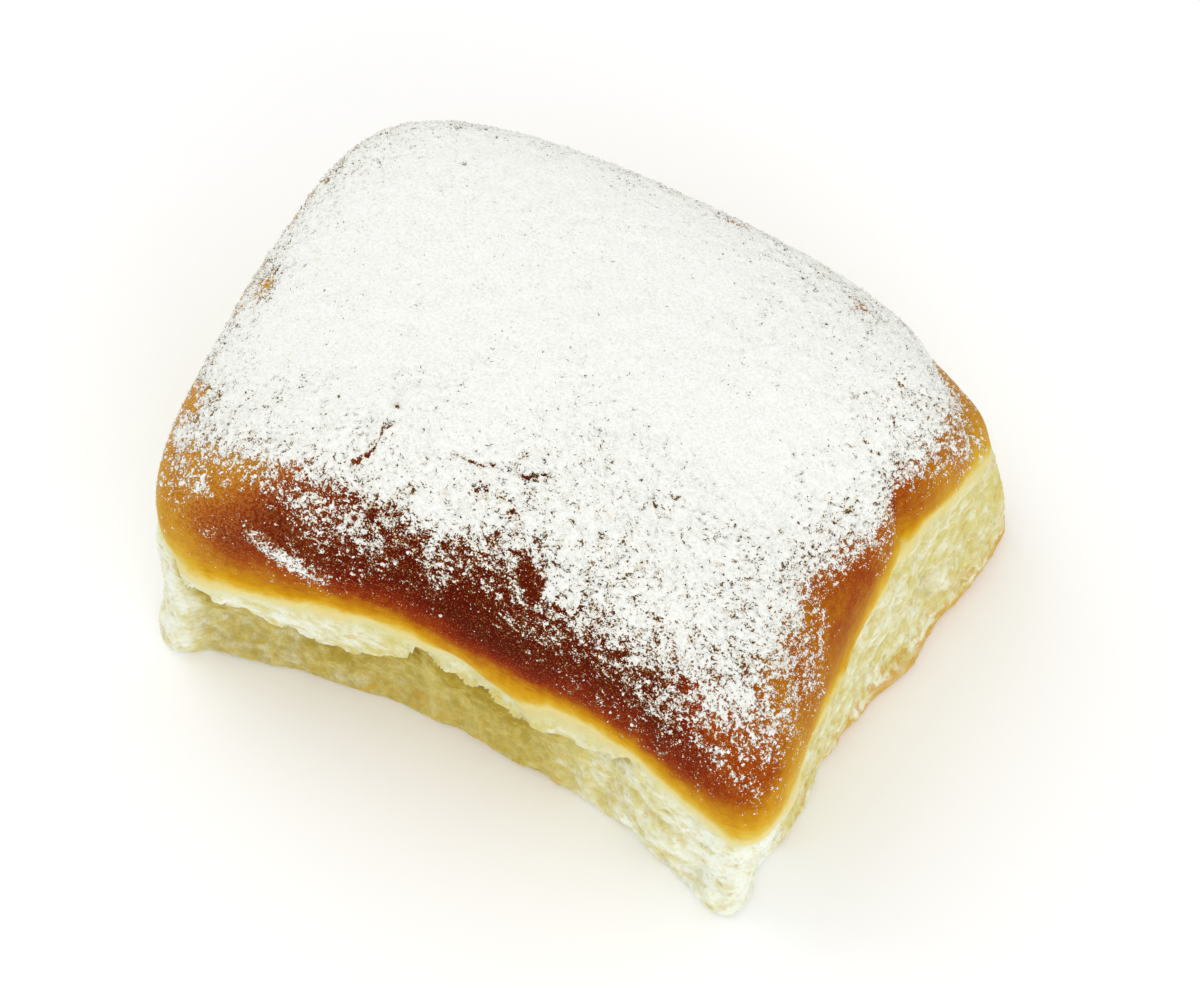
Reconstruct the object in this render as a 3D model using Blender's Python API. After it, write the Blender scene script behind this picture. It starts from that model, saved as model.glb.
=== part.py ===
"""Curd cheese bun: a pull-apart yeast bun, torn off its neighbours in the tray.

Units are metres and +Z is up. X runs along the long side, Y along the short side, and -Y is the front.
The bun is one solid. Its domed crust ends at a rim, the torn crumb flanks fall from the rim, and the
underside is flat. Inside this file the shape is worked out in millimetres and scaled at the end.
"""

import math

import bmesh
import bpy
from mathutils import Vector, noise

MILLIMETRE = 0.001
SAME_PLACE = 1e-6

# The tray half-sizes that the crust and the underside are drawn from.
HALF_LENGTH = 46.0
HALF_WIDTH = 37.4
TOP_HEIGHT = 45.3

# Four values stand for the front left, front right, back right and back left corners, in that order.
RIM_HEIGHT = (25.2, 18.9, 23.3, 30.4)
RIM_ARCH = {"front": 2.6, "right": 2.3}

# On the right the crust folded as it tore: place along the side, half-width, and rise of the rim there.
RIM_FOLD_PLACE = 10.0
RIM_FOLD_HALF_WIDTH = 11.0
RIM_FOLD_RISE = 3.2

# How closely an arch, the fold and a pinch keep to their own side: a higher power fades sooner.
ARCH_POWER = 3
FOLD_POWER = 6
PINCH_POWER = 3

# Each outline is a rounded rectangle with shifted corners. A pinch draws the middle of a side inwards.
RIM_OUTLINE = {
    "squareness": 6.6,
    "corner_x": (3.4, 0.5, -0.1, -1.6),
    "corner_y": (-2.6, 0.0, -3.1, -0.9),
    "pinch": {"front": 8.5, "right": 5.9, "back": -6.7, "left": -2.8},
}
BASE_OUTLINE = {
    "squareness": 7.3,
    "corner_x": (-0.4, -3.3, 3.7, 1.5),
    "corner_y": (0.2, 0.1, 1.3, 0.7),
    "pinch": {"front": 9.1, "right": 4.7, "back": -0.3, "left": 0.7},
}

# The dome is a superellipse: a higher number makes fuller shoulders and a flatter top.
DOME_PLAN_POWER = 2.6
DOME_HEIGHT_POWER = 2.9
DOME_CENTRE_SQUARENESS = 2.2
DOME_TILT = (-1.0, 0.9)
DOME_LEAN = (0.6, 0.9)
BACK_SHOULDER_TUCK = 3.0
LEFT_SHOULDER_SWELL = 0.9
RING_CROWDING = 1.3

# Mesh density: facets along each side of the crust, and rows down a flank.
SIDE_FACETS = 44
FLANK_ROWS = 18

# The flanks bow out a little between the rim and the underside.
FLANK_BOW = 0.6
BASE_EDGE_ROLL = 0.5
BASE_EDGE_HEIGHT = 1.4

# Where a neighbour tore away, a lip of crumb hangs under the crust and the wall steps in below it.
# The lip hangs lowest at its droop, which is a place along the side and how much further it hangs.
FRONT_LIP = {"start": -40.0, "end": -3.5, "height": 5.8, "droop": (-18.5, 6.6), "step": 2.5}
FRONT_THIN_LIP = {"start": -8.0, "end": 25.0, "height": 2.4, "droop": (8.0, 2.6), "step": 1.4}
RIGHT_LIP = {"start": -30.0, "end": 33.0, "height": 2.2, "droop": (20.0, 0.8), "step": 1.1}
BACK_LIP = {"start": -30.0, "end": 12.0, "height": 5.0, "droop": (-12.0, 3.0), "step": 1.8}
LEFT_LIP = {"start": -18.0, "end": 27.0, "height": 4.2, "droop": (10.0, 2.5), "step": 1.6}
LIP_DROOP_HALF_WIDTH = 13.0
LIP_FADE = 5.0
LIP_RAGGEDNESS = 1.3
LIP_RAG_SIZE = 5.0
LIP_UNDERCUT_RISE = 1.6
LIP_STAND_OUT = 0.5
LIP_STAND_OUT_BELOW = 1.5
LIP_STEP_HEIGHT = 9.0

# Single dents of the flanks: place along the side, height, half-width, half-height, depth.
# A negative depth is a swelling.
FRONT_DENTS = (
    (18.5, 17.5, 3.2, 2.2, 2.2),
    (16.0, 0.0, 8.0, 6.0, 0.8),
    (24.5, 0.5, 2.6, 4.5, 2.4),
    (34.5, 5.0, 2.0, 4.2, 1.8),
    (-31.5, 8.0, 5.0, 6.0, 1.5),
    (30.0, 8.0, 5.0, 6.0, -1.2),
    (-12.0, 6.0, 7.0, 4.0, 0.7),
    (-16.0, 0.0, 12.0, 4.0, -1.0),
)
RIGHT_DENTS = (
    (-28.0, 5.0, 6.0, 9.0, 2.3),
    (-10.0, 9.0, 9.0, 5.0, 0.9),
    (9.0, 0.0, 16.0, 6.0, -1.8),
    (14.0, 11.0, 6.0, 5.0, 1.1),
    (25.0, 4.0, 5.0, 4.0, -0.8),
)
BACK_DENTS = (
    (-26.0, 9.0, 8.0, 6.0, 1.6),
    (4.0, 7.0, 7.0, 5.0, 1.2),
    (27.0, 12.0, 6.0, 7.0, -1.2),
)
LEFT_DENTS = (
    (-20.0, 9.0, 6.0, 6.0, 1.4),
    (8.0, 12.0, 7.0, 6.0, 1.3),
    (26.0, 8.0, 5.0, 7.0, -1.1),
)

# Dents at the corners of the flanks: x, y, height, half-width, half-height, depth. The swellings are
# the feet that the bun stands on, and the thin dent is the crease under the front right of the rim.
CORNER_DENTS = (
    (-41.5, -34.5, 0.0, 7.0, 9.0, -3.6),
    (-46.0, -30.0, 17.0, 8.0, 8.0, 1.2),
    (39.5, -34.5, 0.0, 8.5, 8.0, -3.4),
    (44.0, -37.0, 16.2, 7.0, 1.5, 1.3),
    (48.0, 36.0, 13.0, 9.0, 6.0, -1.0),
)

# Dents of the crust: x, y, radius, depth. The small one is where the crust folded at the rim.
CRUST_DENTS = (
    (42.0, 36.0, 14.0, 6.0),
    (40.5, 8.5, 4.2, 1.4),
    (-20.0, -8.0, 14.0, 0.5),
    (12.0, 6.0, 16.0, -0.4),
)

# Uneven relief: the size of a bump and how far it stands, for crust and crumb.
CRUST_BUMP_SIZE = 15.0
CRUST_BUMP_HEIGHT = 0.35
CRUST_BUMP_REACH = 0.9
CRUMB_COARSE_SIZE = 9.0
CRUMB_COARSE_HEIGHT = 1.0
CRUMB_FINE_SIZE = 4.2
CRUMB_FINE_HEIGHT = 0.55
CRUMB_BELOW_RIM = 1.2

NORMAL_STEP = 0.02

CRUST_COLOUR = (0.36, 0.12, 0.03, 1.0)
CRUMB_COLOUR = (0.80, 0.70, 0.38, 1.0)
CRUST_ROUGHNESS = 0.45
CRUMB_ROUGHNESS = 0.85


def clear_scene():
    """Remove every object that the new file starts with."""
    for scene_object in list(bpy.data.objects):
        bpy.data.objects.remove(scene_object, do_unlink=True)


def bell(distance):
    """A smooth bump: 1 at the middle and almost 0 at a distance of 1."""
    return math.exp(-3 * distance * distance)


def corner_blend(x, y, values):
    """Mix four corner values at x and y, which run from -1 to 1 across the bun."""
    front_left, front_right, back_right, back_left = values
    right_share = (x + 1) / 2
    back_share = (y + 1) / 2
    front = front_left * (1 - right_share) + front_right * right_share
    back = back_left * (1 - right_share) + back_right * right_share
    return front * (1 - back_share) + back * back_share


def round_square(u, v, squareness):
    """Pull a point of the unit square's edge onto a superellipse."""
    reach = (abs(u) ** squareness + abs(v) ** squareness) ** (-1 / squareness)
    return u * reach, v * reach


def outline_point(x, y, outline):
    """Place a unit superellipse point on the bun's rim or underside outline, in millimetres."""
    pinch = outline["pinch"]
    out_x = HALF_LENGTH * x + corner_blend(x, y, outline["corner_x"])
    out_y = HALF_WIDTH * y + corner_blend(x, y, outline["corner_y"])
    y_pull = pinch["front"] if y < 0 else -pinch["back"]
    x_pull = -pinch["right"] if x > 0 else pinch["left"]
    out_y += y_pull * (1 - x * x) * abs(y) ** PINCH_POWER
    out_x += x_pull * (1 - y * y) * abs(x) ** PINCH_POWER
    return out_x, out_y


def rim_height(x, y):
    """Height of the crust's edge above the tray, with its low arches along the front and the right."""
    height = corner_blend(x, y, RIM_HEIGHT)
    height += RIM_ARCH["front"] * max(1 - x * x, 0) * max(-y, 0) ** ARCH_POWER
    height += RIM_ARCH["right"] * max(1 - y * y, 0) * max(x, 0) ** ARCH_POWER
    fold = bell((y * HALF_WIDTH - RIM_FOLD_PLACE) / RIM_FOLD_HALF_WIDTH)
    return height + RIM_FOLD_RISE * fold * max(x, 0) ** FOLD_POWER


def smooth_step(low, high, value):
    """Ease from 0 at low to 1 at high."""
    share = min(max((value - low) / (high - low), 0), 1)
    return share * share * (3 - 2 * share)


def bumps(point, size):
    """Smooth uneven relief from about -1 to 1, for bumps of one size."""
    return noise.noise(point / size)


def crust_point(u, v):
    """Point of the domed crust for u and v from -1 to 1 across the top."""
    ring = max(abs(u), abs(v))
    if ring < SAME_PLACE:
        return Vector((DOME_LEAN[0], DOME_LEAN[1], TOP_HEIGHT))
    crowded = ring ** RING_CROWDING
    angle = math.pi / 2 * crowded / (crowded + (1 - ring) ** RING_CROWDING)
    spread = math.sin(angle) ** (2 / DOME_PLAN_POWER)
    lift = max(math.cos(angle), 0) ** (2 / DOME_HEIGHT_POWER)
    squareness = DOME_CENTRE_SQUARENESS + (RIM_OUTLINE["squareness"] - DOME_CENTRE_SQUARENESS) * spread
    x, y = round_square(u / ring, v / ring, squareness)
    rim_x, rim_y = outline_point(x, y, RIM_OUTLINE)
    shoulder = min(max(4 * lift * (1 - lift), 0), 1)
    tuck_y = -BACK_SHOULDER_TUCK * y * y if y > 0 else 0
    swell_x = -LEFT_SHOULDER_SWELL * x * x if x < 0 else 0
    low = rim_height(x * spread, y * spread)
    high = TOP_HEIGHT + DOME_TILT[0] * x * spread + DOME_TILT[1] * y * spread
    return Vector((
        rim_x * spread + swell_x * shoulder + DOME_LEAN[0] * lift,
        rim_y * spread + tuck_y * shoulder + DOME_LEAN[1] * lift,
        low + (high - low) * lift,
    ))


def flank_point(u, v, drop):
    """Point of the plain flank, with drop from 0 at the rim to 1 at the underside."""
    rim_x, rim_y = outline_point(*round_square(u, v, RIM_OUTLINE["squareness"]), RIM_OUTLINE)
    base_x, base_y = outline_point(*round_square(u, v, BASE_OUTLINE["squareness"]), BASE_OUTLINE)
    height = rim_height(*round_square(u, v, RIM_OUTLINE["squareness"]))
    return Vector((
        rim_x * (1 - drop) + base_x * drop,
        rim_y * (1 - drop) + base_y * drop,
        height * (1 - drop),
    ))


def flank_outward(u, v, drop):
    """Level direction that points out of the flank, from two neighbours on the same row."""
    if abs(u) >= abs(v):
        before = flank_point(u, max(v - NORMAL_STEP, -1), drop)
        after = flank_point(u, min(v + NORMAL_STEP, 1), drop)
    else:
        before = flank_point(max(u - NORMAL_STEP, -1), v, drop)
        after = flank_point(min(u + NORMAL_STEP, 1), v, drop)
    along = after - before
    outward = Vector((along.y, -along.x, 0)).normalized()
    centre_line = Vector((u, v, 0))
    return outward if outward.dot(centre_line) > 0 else -outward


def side_of(u, v):
    """Which side of the bun a flank point is on, with its lip and its dents."""
    if v <= -1 + SAME_PLACE:
        return "front", (FRONT_LIP, FRONT_THIN_LIP), FRONT_DENTS
    if u >= 1 - SAME_PLACE:
        return "right", (RIGHT_LIP,), RIGHT_DENTS
    if v >= 1 - SAME_PLACE:
        return "back", (BACK_LIP,), BACK_DENTS
    return "left", (LEFT_LIP,), LEFT_DENTS


def lip_depth(lip, along, below_rim, height):
    """How far the wall is set back for one torn lip: out at the lip, in under its ragged edge."""
    present = smooth_step(lip["start"], lip["start"] + LIP_FADE, along)
    present *= 1 - smooth_step(lip["end"] - LIP_FADE, lip["end"], along)
    droop_place, droop = lip["droop"]
    hang = lip["height"] + droop * bell((along - droop_place) / LIP_DROOP_HALF_WIDTH)
    ragged_edge = hang + LIP_RAGGEDNESS * bumps(Vector((along, lip["height"], 0)), LIP_RAG_SIZE)
    under = smooth_step(ragged_edge - LIP_UNDERCUT_RISE / 2, ragged_edge + LIP_UNDERCUT_RISE / 2, below_rim)
    over = smooth_step(0, LIP_STAND_OUT_BELOW, below_rim) * (1 - under)
    to_floor = smooth_step(0, LIP_STEP_HEIGHT, height)
    return present * (lip["step"] * under * to_floor - LIP_STAND_OUT * over)


def dent_depth(dents, along, height):
    """Sum of a side's single dents at one place."""
    depth = 0.0
    for place, level, half_width, half_height, amount in dents:
        distance = math.hypot((along - place) / half_width, (height - level) / half_height)
        depth += amount * bell(distance)
    return depth


def corner_dent_depth(place):
    """Sum of the corners' dents at one point of the wall."""
    depth = 0.0
    for x, y, level, half_width, half_height, amount in CORNER_DENTS:
        across = math.hypot(place.x - x, place.y - y) / half_width
        depth += amount * bell(math.hypot(across, (place.z - level) / half_height))
    return depth


def torn_flank_point(u, v, drop):
    """Point of the torn flank: the plain wall with its lip, dents, crumb relief and rolled base edge."""
    plain = flank_point(u, v, drop)
    outward = flank_outward(u, v, drop)
    side, lips, dents = side_of(u, v)
    along = plain.x if side in ("front", "back") else plain.y
    below_rim = flank_point(u, v, 0).z - plain.z
    depth = sum(lip_depth(lip, along, below_rim, plain.z) for lip in lips)
    depth += dent_depth(dents, along, plain.z)
    depth += corner_dent_depth(plain)
    depth -= FLANK_BOW * 4 * drop * (1 - drop)
    depth -= CRUMB_COARSE_HEIGHT * bumps(plain, CRUMB_COARSE_SIZE)
    depth -= CRUMB_FINE_HEIGHT * bumps(plain, CRUMB_FINE_SIZE)
    depth *= smooth_step(0, CRUMB_BELOW_RIM, below_rim)
    depth += BASE_EDGE_ROLL * (1 - smooth_step(0, BASE_EDGE_HEIGHT, plain.z)) ** 2
    return plain - outward * depth


def baked_crust_point(u, v):
    """Point of the crust with its shallow dents and the uneven swell of the risen dough."""
    plain = crust_point(u, v)
    lift = CRUST_BUMP_HEIGHT * bumps(plain, CRUST_BUMP_SIZE)
    for x, y, radius, depth in CRUST_DENTS:
        lift -= depth * bell(math.hypot(plain.x - x, plain.y - y) / radius)
    ring = max(abs(u), abs(v))
    lift *= 1 - smooth_step(CRUST_BUMP_REACH, 1, ring)
    inward = Vector((plain.x * (HALF_WIDTH / HALF_LENGTH), plain.y, TOP_HEIGHT / 2)).normalized()
    return plain + inward * lift


def shape_point(corner):
    """Send a point of the subdivided cube, from -1 to 1 each way, to its place on the bun."""
    if corner.z >= 1 - SAME_PLACE:
        return baked_crust_point(corner.x, corner.y)
    drop = (1 - corner.z) / 2
    on_side = max(abs(corner.x), abs(corner.y)) >= 1 - SAME_PLACE
    if on_side:
        return torn_flank_point(corner.x, corner.y, drop)
    return Vector((corner.x * HALF_LENGTH, corner.y * HALF_WIDTH, 0))


def edge_runs_up(edge):
    """True for an edge of the cube that is parallel to Z."""
    start, end = (vertex.co for vertex in edge.verts)
    return abs(start.z - end.z) > 1


def subdivided_cube():
    """A cube whose top is a square grid and whose sides are rows of facets."""
    cube = bmesh.new()
    bmesh.ops.create_cube(cube, size=2)
    level_edges = [edge for edge in cube.edges if not edge_runs_up(edge)]
    bmesh.ops.subdivide_edges(cube, edges=level_edges, cuts=SIDE_FACETS - 1, use_grid_fill=True)
    upright_edges = [edge for edge in cube.edges if edge_runs_up(edge)]
    bmesh.ops.subdivide_edges(cube, edges=upright_edges, cuts=FLANK_ROWS - 1, use_grid_fill=True)
    underside = [face for face in cube.faces if all(vertex.co.z < SAME_PLACE - 1 for vertex in face.verts)]
    bmesh.ops.dissolve_faces(cube, faces=underside, use_verts=False)
    return cube


def stand_on_origin(mesh):
    """Centre the mesh's box on the origin in X and Y, with the underside at Z = 0."""
    xs = [vertex.co.x for vertex in mesh.verts]
    ys = [vertex.co.y for vertex in mesh.verts]
    zs = [vertex.co.z for vertex in mesh.verts]
    centre = Vector(((min(xs) + max(xs)) / 2, (min(ys) + max(ys)) / 2, min(zs)))
    bmesh.ops.translate(mesh, verts=mesh.verts, vec=-centre)


def baked_material(name, colour, roughness):
    """A plain finish for one surface of the bun."""
    material = bpy.data.materials.new(name)
    material.use_nodes = True
    shader = material.node_tree.nodes["Principled BSDF"]
    shader.inputs["Base Color"].default_value = colour
    shader.inputs["Roughness"].default_value = roughness
    return material


def make_bun(collection):
    """The bun: one closed solid with crust faces on top and crumb faces below."""
    shaped = subdivided_cube()
    top = 1 - SAME_PLACE
    crust_faces = [face for face in shaped.faces if all(vertex.co.z > top for vertex in face.verts)]
    for face in shaped.faces:
        face.material_index = 1
    for face in crust_faces:
        face.material_index = 0
    for vertex in shaped.verts:
        vertex.co = shape_point(vertex.co)
    stand_on_origin(shaped)
    bmesh.ops.scale(shaped, verts=shaped.verts, vec=Vector((MILLIMETRE, MILLIMETRE, MILLIMETRE)))
    quads = [face for face in shaped.faces if len(face.verts) == 4]
    bmesh.ops.triangulate(shaped, faces=quads, quad_method="BEAUTY")
    bmesh.ops.recalc_face_normals(shaped, faces=shaped.faces)
    mesh = bpy.data.meshes.new("bun")
    shaped.to_mesh(mesh)
    shaped.free()
    mesh.materials.append(baked_material("crust", CRUST_COLOUR, CRUST_ROUGHNESS))
    mesh.materials.append(baked_material("crumb", CRUMB_COLOUR, CRUMB_ROUGHNESS))
    mesh.shade_smooth()
    bun = bpy.data.objects.new("bun", mesh)
    collection.objects.link(bun)


def main():
    clear_scene()
    collection = bpy.data.collections.new("curd_cheese_bun")
    bpy.context.scene.collection.children.link(collection)
    make_bun(collection)


main()
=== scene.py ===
# %% [markdown]
# # A curd cheese bun, dusted with icing sugar
# This lesson dresses a plain solid of a bun until it looks baked, torn and sugared. The solid comes
# from the CAD model, so its size and its place are settled before the first cell. The frame is
# loaded first, and its box is kept, so that the finished bun can be measured against it.

# %% Load the frame
import math

import bpy
import numpy as np
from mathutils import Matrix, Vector, noise
from mathutils.kdtree import KDTree


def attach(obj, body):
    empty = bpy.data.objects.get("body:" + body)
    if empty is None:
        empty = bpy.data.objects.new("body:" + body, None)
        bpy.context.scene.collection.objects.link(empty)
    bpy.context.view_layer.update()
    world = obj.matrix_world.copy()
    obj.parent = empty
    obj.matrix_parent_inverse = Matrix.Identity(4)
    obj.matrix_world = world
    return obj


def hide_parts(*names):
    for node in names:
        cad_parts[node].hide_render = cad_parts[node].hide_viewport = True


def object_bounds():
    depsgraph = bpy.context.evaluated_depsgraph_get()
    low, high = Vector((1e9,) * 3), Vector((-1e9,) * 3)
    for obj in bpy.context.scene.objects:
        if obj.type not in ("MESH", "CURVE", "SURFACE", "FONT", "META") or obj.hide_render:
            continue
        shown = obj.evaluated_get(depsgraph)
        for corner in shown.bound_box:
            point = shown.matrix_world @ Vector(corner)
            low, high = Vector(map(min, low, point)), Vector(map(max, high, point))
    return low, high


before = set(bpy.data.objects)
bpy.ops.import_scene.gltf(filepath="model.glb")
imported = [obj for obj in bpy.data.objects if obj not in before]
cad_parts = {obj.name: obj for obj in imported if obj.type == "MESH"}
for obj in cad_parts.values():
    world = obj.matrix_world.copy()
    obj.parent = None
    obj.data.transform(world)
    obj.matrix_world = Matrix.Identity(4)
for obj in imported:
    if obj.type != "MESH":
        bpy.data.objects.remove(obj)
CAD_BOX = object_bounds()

MM = 0.001
print("CAD box, mm:", [[round(value / MM, 1) for value in corner] for corner in CAD_BOX])

# %% [markdown]
# ## Camera, light and floor
# The bun is seen from high above, a little to the right of its front, through a long lens that
# hardly narrows the far side.
# A white room gives soft light from all sides, one large lamp high up on the left makes the relief
# readable, and a second one on the right brightens the torn walls. The floor is a plain pale sheet,
# and it is part of the stage alone.

# %% Helpers for choosing objects
def choose(piece):
    """Select one object alone and make it the active one."""
    bpy.ops.object.select_all(action="DESELECT")
    piece.select_set(True)
    bpy.context.view_layer.objects.active = piece


def paint(red, green, blue):
    """Turn a colour of a paint chart, 0 to 255, into the linear colour that a shader wants."""
    channels = []
    for value in (red, green, blue):
        share = value / 255
        channels.append(share / 12.92 if share <= 0.04045 else ((share + 0.055) / 1.055) ** 2.4)
    return (*channels, 1.0)


# %% Camera
IMAGE_WIDTH = 1200
VIEW_TARGET = Vector((1.5, -3.0, 22.0)) * MM
VIEW_AZIMUTH = math.radians(29)
VIEW_ELEVATION = math.radians(56.5)
VIEW_DISTANCE = 0.42
VIEW_SHIFT = (17.6, -9.5)

towards_camera = Vector((
    math.sin(VIEW_AZIMUTH) * math.cos(VIEW_ELEVATION),
    -math.cos(VIEW_AZIMUTH) * math.cos(VIEW_ELEVATION),
    math.sin(VIEW_ELEVATION),
))
camera = bpy.data.objects.new("camera", bpy.data.cameras.new("camera"))
bpy.context.scene.collection.objects.link(camera)
camera.data.lens = 100
camera.data.sensor_width = 36
camera.data.clip_start = 0.01
camera.data.shift_x = VIEW_SHIFT[0] / IMAGE_WIDTH
camera.data.shift_y = VIEW_SHIFT[1] / IMAGE_WIDTH
camera.location = VIEW_TARGET + towards_camera * VIEW_DISTANCE
camera.rotation_euler = towards_camera.to_track_quat("Z", "Y").to_euler()
bpy.context.scene.camera = camera
print("camera at, mm:", [round(value / MM) for value in camera.location])

# %% Room light and lamps
ROOM_BRIGHTNESS = 0.90
LAMPS = {
    "key": {"place": (-0.55, 0.05, 0.75), "size": 0.70, "watts": 1.5},
    "fill": {"place": (0.65, -0.60, 0.40), "size": 0.60, "watts": 2.35},
}

scene = bpy.context.scene
scene.view_settings.view_transform = "Standard"
room = bpy.data.worlds.new("white room")
room.use_nodes = True
room.node_tree.nodes["Background"].inputs["Color"].default_value = (1, 1, 1, 1)
room.node_tree.nodes["Background"].inputs["Strength"].default_value = ROOM_BRIGHTNESS
scene.world = room
for lamp_name, lamp in LAMPS.items():
    light = bpy.data.lights.new(lamp_name, "AREA")
    light.size = lamp["size"]
    light.energy = lamp["watts"]
    lamp_object = bpy.data.objects.new(lamp_name, light)
    scene.collection.objects.link(lamp_object)
    lamp_object.location = lamp["place"]
    lamp_object.rotation_euler = (Vector(lamp["place"]) - VIEW_TARGET).to_track_quat("Z", "Y").to_euler()
print("lamps:", ", ".join(LAMPS))

# %% Floor
bpy.ops.object.select_all(action="DESELECT")
bpy.ops.mesh.primitive_plane_add(size=4, location=(0, 0, 0))
floor = bpy.context.active_object
floor.name = "floor"
floor_paint = bpy.data.materials.new("pale_floor")
floor_paint.use_nodes = True
floor_shader = floor_paint.node_tree.nodes["Principled BSDF"]
floor_shader.inputs["Base Color"].default_value = (0.97, 0.97, 0.972, 1)
floor_shader.inputs["Roughness"].default_value = 0.9
floor_shader.inputs["Specular IOR Level"].default_value = 0.1
floor.data.materials.append(floor_paint)
print("floor:", floor.name)

# %% [markdown]
# ## The body of the bun
# The solid has the right form but flat facets. A copy of its mesh is welded, turned back into
# four-sided faces and subdivided, so that it can carry small relief. The underside gets a few rings
# first, because one huge face would pull the base edge round. Each ring is the underside extruded
# in its own plane and scaled towards the middle.

# %% Copy and weld the solid
MERGE_DISTANCE = 0.001
QUAD_ANGLE = math.radians(70)

bun_body = bpy.data.objects.new("bun_body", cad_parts["bun"].data.copy())
scene.collection.objects.link(bun_body)
bun_body.data.materials.clear()
choose(bun_body)
bpy.ops.object.mode_set(mode="EDIT")
bpy.ops.mesh.select_mode(type="VERT")
bpy.ops.mesh.select_all(action="SELECT")
bpy.ops.mesh.remove_doubles(threshold=MERGE_DISTANCE * MM)
bpy.ops.mesh.tris_convert_to_quads(face_threshold=QUAD_ANGLE, shape_threshold=QUAD_ANGLE)
bpy.ops.object.mode_set(mode="OBJECT")
print("welded:", len(bun_body.data.vertices), "points,", len(bun_body.data.polygons), "faces")

# %% Rings on the underside
UNDERSIDE_RINGS = (0.96, 0.87, 0.78, 0.66, 0.45)


def select_faces(piece, wanted):
    """Select the faces for which wanted(face) is true, and nothing else."""
    bpy.ops.object.mode_set(mode="EDIT")
    bpy.ops.mesh.select_mode(type="FACE")
    bpy.ops.mesh.select_all(action="DESELECT")
    bpy.ops.object.mode_set(mode="OBJECT")
    for face in piece.data.polygons:
        face.select = bool(wanted(face))
    bpy.ops.object.mode_set(mode="EDIT")


select_faces(bun_body, lambda face: face.normal.z < -0.99 and face.center.z < 0.05 * MM)
bpy.ops.mesh.dissolve_faces()
for ring_share in UNDERSIDE_RINGS:
    bpy.ops.mesh.extrude_region_move()
    bpy.ops.transform.resize(value=(ring_share, ring_share, 1), center_override=(0, 0, 0))
bpy.ops.object.mode_set(mode="OBJECT")
print("with rings:", len(bun_body.data.polygons), "faces")

# %% Subdivide
SMOOTH_LEVELS = 2

rounding = bun_body.modifiers.new("rounding", "SUBSURF")
rounding.levels = SMOOTH_LEVELS
rounding.render_levels = SMOOTH_LEVELS
choose(bun_body)
bpy.ops.object.modifier_apply(modifier=rounding.name)
print("subdivided:", len(bun_body.data.polygons), "faces")

# %% [markdown]
# ## Where the crust ends
# Almost everything on this bun depends on how far a point is from the rim, where the crust was torn
# from its neighbours: above it the crust browns, and below it the wall is torn crumb. The rim is
# drawn here from the same few values as the solid. The nearest rim point gives each mesh point its
# distance, which is positive on the crust and negative on the torn wall.

# %% The rim, from the bun's driving values
HALF_LENGTH = 46.0
HALF_WIDTH = 37.4
DRAWING_SHIFT = Vector((1.528, -3.033, 0.0))
RIM_CORNER_HEIGHT = (25.2, 18.9, 23.3, 30.4)
RIM_CORNER_X = (3.4, 0.5, -0.1, -1.6)
RIM_CORNER_Y = (-2.6, 0.0, -3.1, -0.9)
RIM_PINCH = {"front": 8.5, "right": 5.9, "back": -6.7, "left": -2.8}
RIM_ARCH = {"front": 2.6, "right": 2.3}
RIM_FOLD = {"place": 10.0, "half_width": 11.0, "rise": 3.2}
RIM_SQUARENESS = 6.6
RIM_STEPS = 1440


def bell(distance):
    """A smooth bump: 1 at the middle and almost 0 at a distance of 1. It works on arrays too."""
    return np.exp(-3 * np.square(distance))


def corner_mix(x, y, corners):
    """Mix four corner values, front left first and anticlockwise, at x and y from -1 to 1."""
    front_left, front_right, back_right, back_left = corners
    right_share = (x + 1) / 2
    back_share = (y + 1) / 2
    front = front_left * (1 - right_share) + front_right * right_share
    back = back_left * (1 - right_share) + back_right * right_share
    return front * (1 - back_share) + back * back_share


def rim_point(turn):
    """Point of the rim, in millimetres, at an angle round the bun."""
    u, v = math.cos(turn), math.sin(turn)
    reach = (abs(u) ** RIM_SQUARENESS + abs(v) ** RIM_SQUARENESS) ** (-1 / RIM_SQUARENESS)
    x, y = u * reach, v * reach
    y_pull = RIM_PINCH["front"] if y < 0 else -RIM_PINCH["back"]
    x_pull = -RIM_PINCH["right"] if x > 0 else RIM_PINCH["left"]
    out_x = HALF_LENGTH * x + corner_mix(x, y, RIM_CORNER_X) + x_pull * (1 - y * y) * abs(x) ** 3
    out_y = HALF_WIDTH * y + corner_mix(x, y, RIM_CORNER_Y) + y_pull * (1 - x * x) * abs(y) ** 3
    height = corner_mix(x, y, RIM_CORNER_HEIGHT)
    height += RIM_ARCH["front"] * max(1 - x * x, 0) * max(-y, 0) ** 3
    height += RIM_ARCH["right"] * max(1 - y * y, 0) * max(x, 0) ** 3
    fold = bell((y * HALF_WIDTH - RIM_FOLD["place"]) / RIM_FOLD["half_width"])
    height += RIM_FOLD["rise"] * fold * max(x, 0) ** 6
    return Vector((out_x, out_y, height)) + DRAWING_SHIFT


rim_points = []
for step in range(RIM_STEPS):
    rim_points.append(rim_point(2 * math.pi * step / RIM_STEPS))
rim_tree = KDTree(len(rim_points))
for index, point in enumerate(rim_points):
    rim_tree.insert(point, index)
rim_tree.balance()
print("rim heights, mm:", round(min(point.z for point in rim_points), 1), "to",
      round(max(point.z for point in rim_points), 1))

# %% Read and write mesh points as arrays
def read_points(mesh):
    """The mesh's points in millimetres, as an array with one row each."""
    flat = np.zeros(len(mesh.vertices) * 3, np.float32)
    mesh.vertices.foreach_get("co", flat)
    return flat.reshape(-1, 3).astype(float) / MM


def write_points(mesh, points):
    """Put the points, in millimetres, back into the mesh."""
    mesh.vertices.foreach_set("co", (points * MM).astype(np.float32).ravel())
    mesh.update()


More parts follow.
